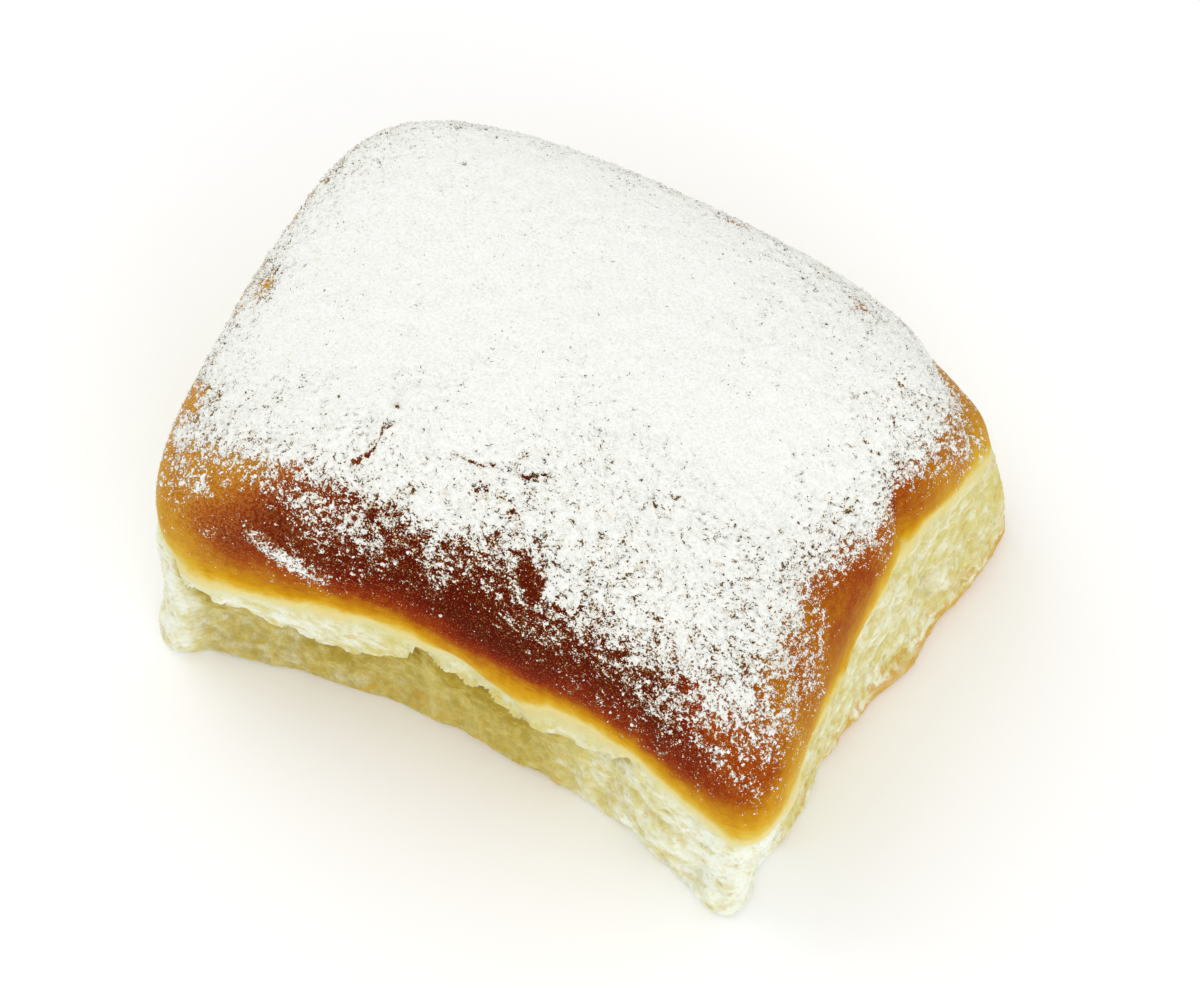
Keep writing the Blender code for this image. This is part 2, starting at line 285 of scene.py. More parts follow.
def read_normals(mesh):
    """The outward direction at each point."""
    flat = np.zeros(len(mesh.vertices) * 3, np.float32)
    mesh.vertices.foreach_get("normal", flat)
    return flat.reshape(-1, 3).astype(float)


def keep_value(mesh, name, values):
    """Store one number for each point, for a material to read."""
    attribute = mesh.attributes.get(name) or mesh.attributes.new(name, "FLOAT", "POINT")
    attribute.data.foreach_set("value", np.asarray(values, np.float32))


def rim_distance(points):
    """Signed distance from the rim: positive up the crust, negative down the torn wall."""
    distances = np.zeros(len(points))
    for row, point in enumerate(points):
        nearest, _, distance = rim_tree.find(point)
        distances[row] = distance if point[2] >= nearest[2] else -distance
    return distances


def ease(low, high, values):
    """Ease from 0 at low to 1 at high."""
    share = np.clip((values - low) / (high - low), 0, 1)
    return share * share * (3 - 2 * share)


def bearing(points):
    """Direction of each point round the bun in degrees: 0 is right, 90 back, -90 front, 180 left."""
    return np.degrees(np.arctan2(points[:, 1] / HALF_WIDTH, points[:, 0] / HALF_LENGTH))


def round_table(points, table, column=0):
    """Look a table up by direction, going evenly from row to row."""
    rows = sorted(table)
    return np.interp(bearing(points), rows, [np.atleast_1d(table[row])[column] for row in rows])


def speckle(points, size, stretch=(1, 1, 1), seed=0):
    """Smooth random relief from about -1 to 1, with bumps of one size in millimetres."""
    scaled = points / (np.array(stretch) * size) + seed * 17.3
    return np.array([noise.noise(Vector(point)) for point in scaled]) * 1.6


body_points = read_points(bun_body.data)
body_rim = rim_distance(body_points)
print("points above the rim:", int((body_rim > 0).sum()), "below it:", int((body_rim <= 0).sum()))

# %% How far the skin hangs over the wall
# Direction: how far the browned skin runs down past the rim, in millimetres, or stops short of it.
SKIN_HANG = {
    -180: 1.0, -150: 1.0, -134: -0.6, -127: 1.4, -115: 1.5, -107: 0.9, -97: 0.8, -91: 2.8, -85: 3.9,
    -78: 3.9, -72: 1.0, -66: -0.1, -58: -0.9, -51: 1.1, -48: 2.2, -44: 0.2, -36: -0.3, -30: 0.2,
    -24: 1.3, -16: 1.8, 5: 0.9, 11: 0.2, 18: -0.9, 24: -0.6, 31: 0.4, 35: 1.3, 39: 4.0, 43: 7.0,
    52: 7.0, 64: 4.0, 78: 1.5, 90: 0.5, 140: 0.5, 180: 1.0,
}
SKIN_RAGGEDNESS = 0.35

body_skin = body_rim + round_table(body_points, SKIN_HANG)
body_skin += SKIN_RAGGEDNESS * speckle(body_points, 2.6, seed=6)
print("points on the skin:", int((body_skin > 0).sum()))

# %% [markdown]
# ## Torn crumb
# A bun that is pulled from its neighbour tears like cotton wool: soft tufts, fine strands and small
# pores. Four kinds of relief are laid over each other on the wall: broad, shallow tufts, strands that
# run along it, a fine grain, and pores, which are small pits. All of it fades out at the skin and at
# the base edge, so that the bun still stands flat.

# %% Relief of the torn wall
TUFT = {"size": 3.0, "height": 0.34}
STRAND = {"size": 0.9, "height": 0.13, "stretch": (1.4, 1.4, 1.0)}
CRUMB_GRAIN = {"size": 0.5, "height": 0.12}
PORE = {"size": 1.9, "depth": 0.40, "radius": 0.28}
LIP_SMOOTHNESS = 0.5
SKIN_FADE = (0.2, 2.6)
BASE_FADE = (0.0, 1.6)
FRONT_WALL = {"behind": -25.0, "facing": -0.2}
# Place below the lip's edge, width and height: a roll on the edge, and a groove under it.
LIP_PROFILE = ((-0.6, 1.0, 0.8), (0.8, 1.6, -1.5))
LIP_BORDER = (-0.6, 0.0)
LIP_RAGGEDNESS = ((1.1, 2.6, 3), (0.5, 1.1, 4))

# A broad lip hangs under the crust from the left corner to the middle, and a thin one goes on.
# Each hangs lowest at its droop, and always some way below the skin. The thin one is lifted a
# little more. Shade is painted into the groove under each lip: the next value says how dark, up to
# the place where it has faded out.
FRONT_LIPS = (
    {"start": -38.5, "end": -2.0, "hang": 5.8, "droop_place": -17.0, "droop": 6.6,
     "below_skin": 1.5, "lift": 0.0, "lip_shade": 1.0, "recess_end": 12.0},
    {"start": -7.5, "end": 26.5, "hang": 2.4, "droop_place": 9.5, "droop": 2.6,
     "below_skin": 4.0, "lift": 0.9, "lip_shade": 1.0, "recess_end": 21.0},
)
LIP_DROOP_WIDTH = 13.0
LIP_FADE = 5.0
RECESS_FADE = 12.0


def front_lips(points):
    """How far below the rim the ragged front lips hang, how dark the painted shade in their groove is, and
    their lift.
    """
    along = points[:, 0]
    skin_hang = round_table(points, SKIN_HANG)
    hang, lip_shade, lift = np.zeros((3, len(along)))
    for lip in FRONT_LIPS:
        present = ease(lip["start"], lip["start"] + LIP_FADE, along)
        present *= 1 - ease(lip["end"] - LIP_FADE, lip["end"], along)
        droop = lip["droop"] * bell((along - lip["droop_place"]) / LIP_DROOP_WIDTH)
        own_hang = np.maximum(lip["hang"] + droop, skin_hang + lip["below_skin"])
        hang = np.maximum(hang, present * own_hang)
        darkness = lip["lip_shade"] * (1 - ease(lip["recess_end"] - RECESS_FADE, lip["recess_end"], along))
        lip_shade = np.maximum(lip_shade, present * darkness)
        lift = np.maximum(lift, present * lip["lift"])
    flat = np.zeros((len(along), 3))
    flat[:, 0] = along
    ragged = sum(amount * speckle(flat, size, seed=seed) for amount, size, seed in LIP_RAGGEDNESS)
    return hang + ragged * np.clip(hang / 4, 0, 1), lip_shade, lift


def pores(points, size, radius):
    """Small round pits: 1 in the middle of a pore and 0 outside."""
    pits = np.zeros(len(points))
    for row, point in enumerate(points / size):
        distances, _ = noise.voronoi(Vector(point))
        pits[row] = max(1 - distances[0] / radius, 0)
    return pits ** 0.7


on_wall = np.where((body_skin < 0.3) & (body_points[:, 2] > 0.05))[0]
wall = body_points[on_wall]
wall_rim = body_rim[on_wall]
wall_normals = read_normals(bun_body.data)[on_wall]
fade = ease(*SKIN_FADE, -body_skin[on_wall]) * ease(*BASE_FADE, wall[:, 2])
lift = TUFT["height"] * speckle(wall, TUFT["size"], seed=1)
lift += STRAND["height"] * speckle(wall, STRAND["size"], STRAND["stretch"], seed=2)
lift += CRUMB_GRAIN["height"] * speckle(wall, CRUMB_GRAIN["size"], seed=5)
lift -= PORE["depth"] * pores(wall, PORE["size"], PORE["radius"])

in_front = (wall[:, 1] < FRONT_WALL["behind"]) & (wall_normals[:, 1] < FRONT_WALL["facing"])
lip_hang, lip_shade_share, lip_lift = front_lips(wall)
beside_lip = np.clip(lip_hang / 2, 0, 1)
below_lip = -wall_rim - lip_hang
on_lip = in_front * beside_lip * (1 - ease(*LIP_BORDER, below_lip))
lift *= 1 - LIP_SMOOTHNESS * on_lip
lift += lip_lift * on_lip
profile = sum(height * bell((below_lip - place) / width) for place, width, height in LIP_PROFILE)
lift += in_front * beside_lip * profile
body_points[on_wall] += wall_normals * (lift * fade)[:, None]
body_points[:, 2] = np.maximum(body_points[:, 2], 0)
write_points(bun_body.data, body_points)
print("wall relief, mm:", round(float((lift * fade).min()), 2), "to", round(float((lift * fade).max()), 2))

# %% [markdown]
# ## The fold in the crust
# On the right the crust folded over itself as it tore. A short crease runs up from the rim there: on
# one side the crust ends in a sharp edge, and on the other it lies a millimetre deeper.

# %% Crease of the fold
FOLD_START = np.array((42.6, 5.0, 28.5))
FOLD_END = np.array((37.6, 6.2, 37.6))
FOLD_DEPTH = 1.0
FOLD_EDGE = 0.5
FOLD_REACH = 2.4
FOLD_LINE_WIDTH = 0.7
FOLD_BROWNING = 0.06
FOLD_LINE_BROWNING = 0.45
FOLD_STARTS = (-0.25, 0.1)
FOLD_ENDS = (0.75, 1.1)
FOLD_RIM_FADE = (0.0, 1.5)


def fold_shape(points):
    """Share of the fold's depth, just behind its sharp edge, and share of the dark line along it."""
    up = FOLD_END - FOLD_START
    share = (points - FOLD_START) @ up / (up @ up)
    on_line = FOLD_START + np.clip(share, 0, 1)[:, None] * up
    behind = points[:, 1] - on_line[:, 1]
    away = np.linalg.norm(points - on_line, axis=1)
    ends = ease(*FOLD_STARTS, share) * (1 - ease(*FOLD_ENDS, share))
    depth = ends * (away < 3 * FOLD_REACH) * ease(-FOLD_EDGE, FOLD_EDGE, behind)
    return depth * np.exp(-np.maximum(behind, 0) / FOLD_REACH), ends * bell(away / FOLD_LINE_WIDTH)


crease = fold_shape(body_points)[0] * ease(*FOLD_RIM_FADE, body_rim)
body_points -= read_normals(bun_body.data) * (FOLD_DEPTH * crease)[:, None]
write_points(bun_body.data, body_points)
print("deepest crease, mm:", round(float(FOLD_DEPTH * crease.max()), 2))

# %% [markdown]
# ## How dark the crust baked
# The crust is palest at its edge, where the neighbours shaded it, and browns upwards within a few
# millimetres. The front browned most and the left least. The browning is stored for each point,
# and the material turns it into colour. A table round the bun is easier to tune than many lamps
# or masks: each row is a direction, and how dark the crust gets on the way up from its edge.

# %% Browning table
# Direction: how dark the crust is at each of the three distances from the skin's edge.
BROWNING_DISTANCES = (2.0, 5.0, 10.0)
MIDDLE_BROWNING = 0.8
MIDDLE_STARTS = (14.0, 20.0)
BROWNING = {
    -180: (0.15, 0.26, 0.40),
    -150: (0.14, 0.24, 0.36),
    -133: (0.15, 0.27, 0.42),
    -127: (0.18, 0.34, 0.50),
    -121: (0.32, 0.50, 0.80),
    -115: (0.34, 0.52, 0.86),
    -109: (0.33, 0.64, 0.96),
    -103: (0.31, 0.62, 1.00),
    -97: (0.33, 0.70, 1.00),
    -91: (0.24, 0.53, 1.00),
    -85: (0.21, 0.52, 1.00),
    -79: (0.20, 0.50, 1.00),
    -73: (0.40, 0.82, 1.00),
    -67: (0.38, 0.72, 1.00),
    -61: (0.35, 0.72, 1.00),
    -55: (0.28, 0.64, 1.00),
    -49: (0.20, 0.40, 0.68),
    -43: (0.14, 0.28, 0.54),
    -37: (0.15, 0.31, 0.46),
    -31: (0.20, 0.38, 0.52),
    -25: (0.18, 0.36, 0.52),
    -19: (0.33, 0.42, 0.57),
    -7: (0.24, 0.45, 0.62),
    5: (0.24, 0.48, 0.56),
    11: (0.34, 0.50, 0.55),
    18: (0.33, 0.46, 0.52),
    29: (0.24, 0.40, 0.48),
    36: (0.24, 0.38, 0.44),
    45: (0.24, 0.34, 0.40),
    60: (0.24, 0.36, 0.42),
    90: (0.18, 0.32, 0.44),
    140: (0.16, 0.28, 0.42),
    180: (0.15, 0.26, 0.40),
}


def browning_of(points, distances):
    """Browning from 0 at the skin's edge to 1 for the darkest crust."""
    browned = np.zeros(len(points))
    start, reached = 0.0, 0.0
    for column, end in enumerate(BROWNING_DISTANCES):
        target = round_table(points, BROWNING, column)
        browned += (target - reached) * np.clip((distances - start) / (end - start), 0, 1)
        start, reached = end, target
    return browned


# Direction: how much fine sugar dust dulls the crust outside the cover.
DUSTING = {-180: 0.5, -128: 0.4, -120: 0.1, -108: 0.0, 20: 0.05, 34: 0.4, 180: 0.5}

body_browning = browning_of(body_points, body_skin)
keep_value(bun_body.data, "dusting", round_table(body_points, DUSTING))
fold_depth, fold_line = fold_shape(body_points)
body_browning += FOLD_BROWNING * fold_depth + FOLD_LINE_BROWNING * fold_line
body_browning = np.maximum(body_browning, MIDDLE_BROWNING * ease(*MIDDLE_STARTS, body_rim))
keep_value(bun_body.data, "browning", body_browning)
keep_value(bun_body.data, "rim_distance", body_rim)
keep_value(bun_body.data, "skin_distance", body_skin)
print("darkest browning:", round(float(body_browning.max()), 2))

# %% [markdown]
# ## Where the sugar lies
# The icing sugar was sifted from above. It is a closed layer on top, breaks up into crumbly islands
# on the shoulders, and ends in single specks. One number says all of this: the sugar level, which
# is 0 where half of the crust is covered, 1.6 where all of it is, and -1 where only traces lie.
# A second table round the bun gives the distances from the rim for those three. Bare spots and
# thick spots are then added one by one, and random grain decides which points are covered.

# %% Sugar table, bare spots and thick spots
# Direction: distance from the rim where traces lie, where half is covered and where all of it is.
SUGAR_EDGE = {
    -180: (4.5, 8.0, 11.0),
    -165: (5.0, 8.5, 11.5),
    -150: (4.0, 7.5, 11.0),
    -140: (4.0, 8.5, 18.0),
    -132: (10.0, 16.0, 22.5),
    -126: (12.0, 18.3, 23.5),
    -119: (10.5, 17.0, 22.5),
    -112: (9.5, 16.8, 21.5),
    -104: (11.0, 15.8, 21.0),
    -96: (11.0, 15.2, 24.0),
    -88: (12.5, 16.8, 26.0),
    -80: (12.5, 18.0, 25.5),
    -72: (10.5, 15.6, 26.0),
    -64: (10.0, 15.7, 26.5),
    -56: (10.0, 15.3, 27.0),
    -49: (10.5, 16.3, 26.5),
    -42: (10.5, 15.5, 26.0),
    -35: (8.3, 14.7, 26.0),
    -27: (9.8, 15.8, 25.5),
    -20: (12.2, 16.0, 21.0),
    -14: (11.0, 14.0, 18.5),
    -8: (9.6, 12.7, 16.4),
    0: (6.0, 9.0, 14.5),
    8: (5.0, 8.3, 13.0),
    16: (6.5, 8.8, 13.0),
    24: (8.8, 12.0, 16.0),
    32: (1.0, 10.5, 17.5),
    39: (-2.0, 9.5, 18.0),
    46: (-5.0, 7.0, 17.0),
    56: (-4.0, 8.0, 16.5),
    66: (1.0, 10.5, 16.0),
    78: (6.5, 12.0, 16.0),
    95: (8.0, 11.5, 14.5),
    130: (5.0, 8.5, 12.0),
    180: (4.5, 8.0, 11.0),
}

# Spots: x, y, height, half-width, half-height, change of the sugar level.
BARE_SPOTS = (
    (-27.0, -34.5, 35.5, 8.5, 5.0, -1.1),
    (-33.0, -33.0, 37.0, 5.0, 4.0, -0.6),
    (40.4, -7.0, 32.5, 6.5, 4.5, -1.5),
    (7.6, -27.4, 39.0, 2.8, 1.3, -1.5),
    (2.2, -25.6, 40.4, 1.4, 1.0, -1.8),
    (-2.1, -21.4, 43.0, 2.0, 1.0, -2.0),
    (3.3, -22.5, 42.5, 1.8, 1.0, -2.0),
    (-42.3, -5.7, 38.7, 4.0, 3.0, -1.8),
    (-42.3, -23.5, 35.9, 4.0, 3.5, -2.2),
    (4.3, 31.0, 39.6, 3.5, 1.6, -1.6),
    (25.0, 27.1, 39.7, 3.0, 2.0, -1.8),
    (40.0, 20.8, 35.5, 3.5, 4.0, -0.6),
    (40.2, 8.0, 34.0, 3.2, 5.0, -1.8),
)
THICK_SPOTS = (
    (-25.0, -35.7, 34.4, 2.4, 1.8, 2.0),
    (-22.6, -35.8, 32.8, 2.8, 1.8, 2.3),
    (-20.2, -35.7, 31.4, 2.8, 1.6, 2.2),
    (-17.4, -35.4, 30.0, 2.2, 1.3, 1.6),
    (-34.0, -34.0, 37.0, 2.2, 2.8, 2.0),
    (-31.6, -37.3, 33.0, 1.8, 1.6, 1.6),
    (-12.0, -31.0, 37.5, 4.0, 3.0, 0.6),
)
CRACK_LINES = (
    ((-16.9, -15.6), (-15.9, -20.2), (-16.1, -23.1), (-17.3, -26.8)),
    ((-7.4, -18.9), (-2.7, -18.0), (3.6, -17.0)),
)
CRACK_HALF_WIDTH = 0.24
CRACK_SOFTNESS = 1.6
CRACK_WIGGLE = {"size": 1.7, "amount": 0.8}
CRACK_BREAKS = {"size": 1.3, "share": 0.55}
CRACK_BARENESS = -4.2
SPOT_SHARPNESS = 0.8
NO_SUGAR = -3.5
FULL_COVER = 1.6
DEEPEST_LEVEL = 2.8
SUGAR_STARTS = 0.5
SUGAR_GRAIN = ((4.5, 0.26), (1.6, 0.32), (0.62, 0.50), (0.34, 0.75))
GRAIN_SPREAD = 0.8
SPECKLE_SPREAD = 0.42


def plain_sugar_level(points, distances):
    """Sugar level from the table: -1 traces, 0 half covered, 1.6 covered, 2.8 deep cover."""
    trace = round_table(points, SUGAR_EDGE, 0)
    half = round_table(points, SUGAR_EDGE, 1)
    full = round_table(points, SUGAR_EDGE, 2)
    outside = (distances - half) / (half - trace)
    inside = FULL_COVER * np.sqrt(np.maximum(distances - half, 0) / (full - half))
    return np.clip(np.where(distances < half, outside, inside), NO_SUGAR, DEEPEST_LEVEL)


def spot_change(points, spots):
    """Sum of the changes that single spots make to the sugar level."""
    change = np.zeros(len(points))
    for x, y, z, half_width, half_height, amount in spots:
        across = np.hypot(points[:, 0] - x, points[:, 1] - y) / half_width
        upward = (points[:, 2] - z) / half_height
        change += amount * bell(np.hypot(across, upward) * SPOT_SHARPNESS)
    return change


def crack_share(points):
    """1 on the crack lines and 0 beside them."""
    nearest = np.full(len(points), 99.0)
    points = points + CRACK_WIGGLE["amount"] * speckle(points, CRACK_WIGGLE["size"], seed=8)[:, None]
    for line in CRACK_LINES:
        for start, end in zip(np.array(line), np.array(line[1:])):
            along = end - start
            share = np.clip((points[:, :2] - start) @ along / (along @ along), 0, 1)
            away = points[:, :2] - start - share[:, None] * along
            nearest = np.minimum(nearest, np.linalg.norm(away, axis=1))
    return bell(nearest / CRACK_HALF_WIDTH / CRACK_SOFTNESS)


def sugar_level(points, distances):
    """Sugar level with its bare and thick spots, before the grain."""
    level = plain_sugar_level(points, distances)
    level = level + spot_change(points, BARE_SPOTS) + spot_change(points, THICK_SPOTS)
    broken = CRACK_BREAKS["share"] + CRACK_BREAKS["share"] * speckle(points, CRACK_BREAKS["size"], seed=9)
    return level + CRACK_BARENESS * crack_share(points) * broken


def sugar_grain(points):
    """Random grain, from coarse patches to small crumbs. The materials add the finest one."""
    total = np.zeros(len(points))
    power = 0.0
    for number, (size, weight) in enumerate(SUGAR_GRAIN):
        total += weight * speckle(points, size, seed=20 + number)
        power += weight * weight
    return GRAIN_SPREAD * total / (SPECKLE_SPREAD * math.sqrt(power))


body_sugar = np.where(body_skin > SUGAR_STARTS, sugar_level(body_points, body_rim), NO_SUGAR)
keep_value(bun_body.data, "sugar_level", body_sugar)
keep_value(bun_body.data, "sugar_total", body_sugar + sugar_grain(body_points))
print("share of the crust under sugar:", round(float((body_sugar[body_rim > 0] > 0).mean()), 2))

# %% [markdown]
# ## The layer of sugar
# The cover is a copy of the crust's own faces, so it follows every swell. Its margin is subdivided
# once more, because crumbs of sugar are only half a millimetre wide. Each point then moves out by
# the depth of sugar that lies there, or sinks below the crust where there is none. Faces that have
# sunk are deleted, and what is left is a cover with ragged edges and holes.

# %% Copy the crust's faces
COVER_MARGIN = -2.4
FINE_BELOW = 2.7

sugar_cover = bpy.data.objects.new("sugar_cover", bun_body.data.copy())
scene.collection.objects.link(sugar_cover)
choose(sugar_cover)


def face_means(mesh, values):
    """Mean of a point value over each face."""
    return np.array([values[list(face.vertices)].mean() for face in mesh.polygons])


def delete_faces(piece, unwanted):
    """Delete the faces whose entry in unwanted is true, with points that nothing else uses."""
    select_faces(piece, lambda face: unwanted[face.index])
    bpy.ops.mesh.delete(type="FACE")
    bpy.ops.object.mode_set(mode="OBJECT")


level_of_face = face_means(sugar_cover.data, body_sugar)
rim_of_face = face_means(sugar_cover.data, body_rim)
delete_faces(sugar_cover, (level_of_face < COVER_MARGIN) | (rim_of_face < SUGAR_STARTS))
print("cover starts with", len(sugar_cover.data.polygons), "faces")

# %% Refine its margin
cover_level = np.zeros(len(sugar_cover.data.vertices), np.float32)
sugar_cover.data.attributes["sugar_level"].data.foreach_get("value", cover_level)
level_of_face = face_means(sugar_cover.data, cover_level)
select_faces(sugar_cover, lambda face: level_of_face[face.index] < FINE_BELOW)
bpy.ops.mesh.subdivide(number_cuts=1, smoothness=0.0)
bpy.ops.object.mode_set(mode="OBJECT")
print("refined:", len(sugar_cover.data.polygons), "faces")

# %% Raise the sugar, sink the gaps
SUGAR_DEPTH = 0.30
SUGAR_RISE = 0.9
GAP_SLOPE = 0.40
GAP_DEPTH = 0.28
CRUMBLE = {"size": 0.55, "height": 0.12}
CRUMBLE_ON_DEEP = 0.30
BILLOW = {"size": 1.9, "height": 0.19}
COVER_ENDS = -0.45

cover_points = read_points(sugar_cover.data)
cover_normals = read_normals(sugar_cover.data)
cover_level = sugar_level(cover_points, rim_distance(cover_points)) + sugar_grain(cover_points)
keep_value(sugar_cover.data, "sugar_total", cover_level)
raised = SUGAR_DEPTH * (1 - np.exp(-np.maximum(cover_level, 0) / SUGAR_RISE))
deep = ease(FULL_COVER, DEEPEST_LEVEL, cover_level)
crumbled = ease(0, 1, cover_level) * (1 - (1 - CRUMBLE_ON_DEEP) * deep)
raised += crumbled * CRUMBLE["height"] * speckle(cover_points, CRUMBLE["size"], seed=31)
raised += ease(0, 2, cover_level) * BILLOW["height"] * speckle(cover_points, BILLOW["size"], seed=32)
sunk = np.maximum(GAP_SLOPE * cover_level, -GAP_DEPTH)
outward = np.where(cover_level > 0, raised, sunk)
write_points(sugar_cover.data, cover_points + cover_normals * outward[:, None])
highest_level = np.array([cover_level[list(face.vertices)].max() for face in sugar_cover.data.polygons])
delete_faces(sugar_cover, highest_level < COVER_ENDS)
cover_triangles = sum(len(face.vertices) - 2 for face in sugar_cover.data.polygons)
print("sugar cover:", cover_triangles, "triangles")

# %% [markdown]
# ## Crumbs and specks of sugar
# Damp icing sugar clots into crumbs, and single specks bounce further out than the cover. Four crumbs
# are modelled from a small sphere and four specks from a small pyramid, all knocked out of shape.
# Their copies are turned, stretched and laid on the crust where the sugar level and the grain allow,
# thickest along the crumbling margin.

# %% Model one crumb and one speck
def rough_ball(name, seed, simple=False):
    """A small ball, or a simple pyramid, with knocked-in sides: its points and its faces."""
    bpy.ops.object.select_all(action="DESELECT")
    if simple:
        bpy.ops.mesh.primitive_cone_add(
            vertices=4, radius1=1, depth=1.4, end_fill_type="TRIFAN", location=(0, 0, 0))
    else:
        bpy.ops.mesh.primitive_ico_sphere_add(subdivisions=1, radius=1, location=(0, 0, 0))
    ball = bpy.context.active_object
    ball.name = name
    bpy.ops.object.mode_set(mode="EDIT")
    bpy.ops.mesh.select_all(action="SELECT")
    bpy.ops.transform.vertex_random(offset=0.32, uniform=0.4, normal=0.6, seed=seed)
    bpy.ops.object.mode_set(mode="OBJECT")
    points = np.array([point.co[:] for point in ball.data.vertices])
    faces = np.array([list(face.vertices) for face in ball.data.polygons])
    ball_mesh = ball.data
    bpy.data.objects.remove(ball)
    bpy.data.meshes.remove(ball_mesh)
    return points, faces


crumb_models = [rough_ball("crumb", seed) for seed in range(4)]
speck_models = [rough_ball("speck", seed, simple=True) for seed in range(4)]
print("one crumb:", len(crumb_models[0][1]), "faces, one speck:", len(speck_models[0][1]))

# %% Draw places on the crust
RANDOM = np.random.default_rng(7)
PLACES_FROM_RIM = 1.0


def draw_places(count):
    """Random places spread evenly over the crust: points, normals and sugar levels."""
    mesh = bun_body.data
    mesh.calc_loop_triangles()
    corners = np.zeros(len(mesh.loop_triangles) * 3, np.int32)
    mesh.loop_triangles.foreach_get("vertices", corners)
    corners = corners.reshape(-1, 3)
    corners = corners[(body_rim[corners] > PLACES_FROM_RIM).all(axis=1)]
    first, second, third = (body_points[corners[:, column]] for column in range(3))
    areas = np.linalg.norm(np.cross(second - first, third - first), axis=1)
    picked = RANDOM.choice(len(corners), size=count, p=areas / areas.sum())
    along, across = RANDOM.random(count), RANDOM.random(count)
    outside = along + across > 1
    along[outside], across[outside] = 1 - along[outside], 1 - across[outside]
    shares = np.stack((1 - along - across, along, across), axis=1)
    corners = corners[picked]
    normals = read_normals(mesh)

    def mixed(values):
        return sum(values[corners[:, column]] * shares[:, column].reshape(-1, *[1] * (values.ndim - 1))
                   for column in range(3))

    return mixed(body_points), mixed(normals), mixed(body_sugar)


def random_turns(count):
    """Random rotation matrices, from random quaternions."""
    quaternion = RANDOM.normal(size=(count, 4))
    quaternion /= np.linalg.norm(quaternion, axis=1)[:, None]
    w, x, y, z = quaternion.T
    return np.stack((
        np.stack((1 - 2 * (y * y + z * z), 2 * (x * y - z * w), 2 * (x * z + y * w)), axis=1),
        np.stack((2 * (x * y + z * w), 1 - 2 * (x * x + z * z), 2 * (y * z - x * w)), axis=1),
        np.stack((2 * (x * z - y * w), 2 * (y * z + x * w), 1 - 2 * (x * x + y * y)), axis=1),
    ), axis=1)


print("places are drawn from", int((body_rim > PLACES_FROM_RIM).sum()), "points of the crust")

# %% Lay the copies
SOLID_SUGAR = 6.0


def lay_copies(name, models, places, normals, radii, sink):
    """Join turned and stretched copies of the models into one mesh, partly sunk where they lie."""
    points, faces, start = [], [], 0
    kinds = RANDOM.integers(len(models), size=len(places))
    for kind, (model_points, model_faces) in enumerate(models):
        chosen = np.where(kinds == kind)[0]
        if len(chosen) == 0:
            continue
        turns = random_turns(len(chosen))
        stretch = RANDOM.uniform(0.55, 1.35, size=(len(chosen), 1, 3)) * radii[chosen][:, None, None]
        shaped = np.einsum("kij,kpj->kpi", turns, model_points[None] * stretch)
        shaped += (places[chosen] + normals[chosen] * (radii[chosen] * (0.6 - sink))[:, None])[:, None]
        offsets = start + np.arange(len(chosen)) * len(model_points)
        points.append(shaped.reshape(-1, 3))
        faces.append((model_faces[None] + offsets[:, None, None]).reshape(-1, 3))
        start += len(chosen) * len(model_points)
    mesh = bpy.data.meshes.new(name)
    mesh.from_pydata((np.concatenate(points) * MM).tolist(), [], np.concatenate(faces).tolist())
    for value_name in ("sugar_level", "sugar_total"):
        keep_value(mesh, value_name, np.full(len(mesh.vertices), SOLID_SUGAR))
    piece = bpy.data.objects.new(name, mesh)
    scene.collection.objects.link(piece)
    print(name + ":", len(places), "copies,", len(mesh.polygons), "triangles")
    return piece


print("the copies can be laid")

# %% Crumbs and specks
# Copies lie from one sugar level on. Few lie far out on the crust, and few on the deepest cover.
# "draws" is the order in which chance decides on those two.
CRUMBS = {"tries": 90000, "count": 7000, "radius": (0.10, 0.22), "smallness": 2.0, "sink": 0.35,
          "from_level": -0.30, "on_deep": (1.4, 2.8), "left_out": 0.95,
          "far_out": (-3.2, 0.2), "least": 0.05, "rest": 1.0, "draws": ("on_deep", "far_out")}
SPECKS = {"tries": 160000, "count": 24000, "radius": (0.05, 0.11), "smallness": 1.4, "sink": 0.25,
          "from_level": -1.3, "on_deep": (0.8, 2.2), "left_out": 0.9,
          "far_out": (-3.0, 0.0), "least": 0.06, "rest": 0.94, "draws": ("far_out", "on_deep")}


def scatter(name, models, kind):
    """Choose places by the sugar level and by chance, and lay the copies there."""
    places, normals, level = draw_places(kind["tries"])
    total_level = level + sugar_grain(places)
    chance = {draw: RANDOM.random(kind["tries"]) for draw in kind["draws"]}
    wanted = total_level > kind["from_level"]
    wanted &= chance["on_deep"] > kind["left_out"] * ease(*kind["on_deep"], level)
    wanted &= chance["far_out"] < kind["least"] + kind["rest"] * ease(*kind["far_out"], level)
    print(name, "places wanted:", int(wanted.sum()))
    kept = np.where(wanted)[0][:kind["count"]]
    smallest, largest = kind["radius"]
    radii = smallest + (largest - smallest) * RANDOM.random(len(kept)) ** kind["smallness"]
    depth = SUGAR_DEPTH * (1 - np.exp(-np.maximum(total_level[kept], 0) / SUGAR_RISE))
    laid = places[kept] + normals[kept] * depth[:, None]
    return lay_copies(name, models, laid, normals[kept], radii, kind["sink"])


sugar_crumbs = scatter("sugar_crumbs", crumb_models, CRUMBS)
sugar_specks = scatter("sugar_specks", speck_models, SPECKS)
print("crumbs and specks are laid")

# %% [markdown]
# ## Materials
# Every finish is mixed from noise, so nothing depends on a picture. The noise is read at the
# object's own coordinates, turned into millimetres, so that a grain of 0.5 in a node is half a
# millimetre on the bun. The values that were stored for each point say where a finish changes.

